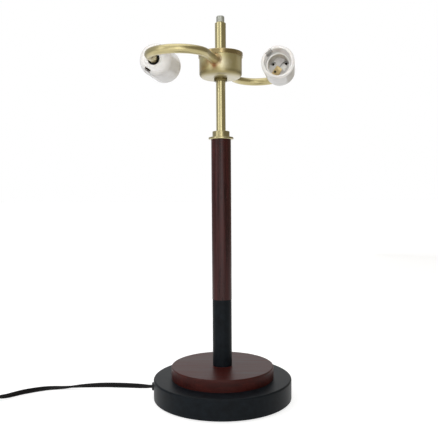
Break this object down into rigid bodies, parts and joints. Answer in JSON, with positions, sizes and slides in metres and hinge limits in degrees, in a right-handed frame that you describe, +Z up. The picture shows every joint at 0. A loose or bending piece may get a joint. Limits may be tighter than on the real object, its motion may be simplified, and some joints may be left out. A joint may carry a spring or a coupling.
{
  "type": "table lamp",
  "caption": "Table lamp stand without a shade: round black base, turned wooden column, brass cluster cup and bent arms with porcelain screw sockets, on a flat cord with in-line switch and plug.",
  "frame": {"origin": "on the table, under the middle of the base", "axes": "+Z up along the column; -Y is the side that the right socket's mouth faces, and the cord leaves the base towards -X"},
  "size_m": [0.5083, 0.2145, 0.489],
  "materials": {
    "black_lacquer": "satin black lacquer",
    "cast_iron": "rough",
    "felt": "matt",
    "zinc": "zinc plated",
    "black_plastic": "satin",
    "mahogany": "stained and lacquered, satin",
    "brass": "satin",
    "dark_brass": "dark bronze",
    "porcelain": "glazed",
    "nickel": "nickel plated",
    "black_cord": "satin",
    "copper": "bare"
  },
  "bodies": {
    "stand": {"base_disc": "black_lacquer", "ballast": "cast_iron", "ballast_screws": "zinc", "felt_pad": "felt", "rod_washer": "zinc", "rod_nut": "zinc", "cord_bushing": "black_plastic", "wood_step": "mahogany", "lower_sleeve": "black_lacquer", "wood_column": "mahogany", "column_collar": "brass", "threaded_rod": "zinc", "pole_tube": "brass", "seat_ring": "dark_brass", "cluster_cup": "brass", "cluster_lid": "dark_brass", "hickey": "brass", "upper_stud": "zinc", "riser_tube": "brass", "arm_left": "brass", "arm_right": "brass", "braze_beads": "dark_brass", "socket_left": "porcelain", "socket_right": "porcelain", "screw_shell_left": "nickel", "screw_shell_right": "nickel", "contact_feet": "brass", "shell_straps": "nickel", "floor_rivets": "nickel", "terminal_screws": "brass", "socket_setscrews": "zinc", "main_lead": "black_cord", "splice_tails": "copper", "wire_connectors": "porcelain", "arm_lead_left": "black_cord", "arm_lead_right": "black_cord", "cord_lead": "black_cord", "cord_link": "black_cord", "cord_coil": "black_cord", "cord_tie": "black_cord", "switch_lower": "black_plastic", "switch_upper": "black_plastic", "switch_axle": "nickel", "switch_screws": "nickel", "switch_contacts": "brass", "plug_body": "black_plastic", "plug_blades": "nickel"},
    "thumb_wheel": {"switch_wheel": "black_plastic"},
    "left_contact": {"contact_tongue_left": "brass"},
    "right_contact": {"contact_tongue_right": "brass"}
  },
  "joints": [
    {"name": "wheel_turn", "type": "hinge", "parent": "stand", "child": "thumb_wheel", "pos_m": [-0.31852, -0.0347, 0.007], "axis": [0, 0, 1], "continuous": true},
    {"name": "left_contact_press", "type": "hinge", "parent": "stand", "child": "left_contact", "pos_m": [-0.07116, -0.02251, 0.42003], "axis": [0.7495, -0.1518, 0.6444], "range_deg": [0, 10], "stiffness_Nm_per_rad": 0.3},
    {"name": "right_contact_press", "type": "hinge", "parent": "stand", "child": "right_contact", "pos_m": [0.07116, 0.02251, 0.42003], "axis": [-0.7495, 0.1518, 0.6444], "range_deg": [0, 10], "stiffness_Nm_per_rad": 0.3}
  ]
}
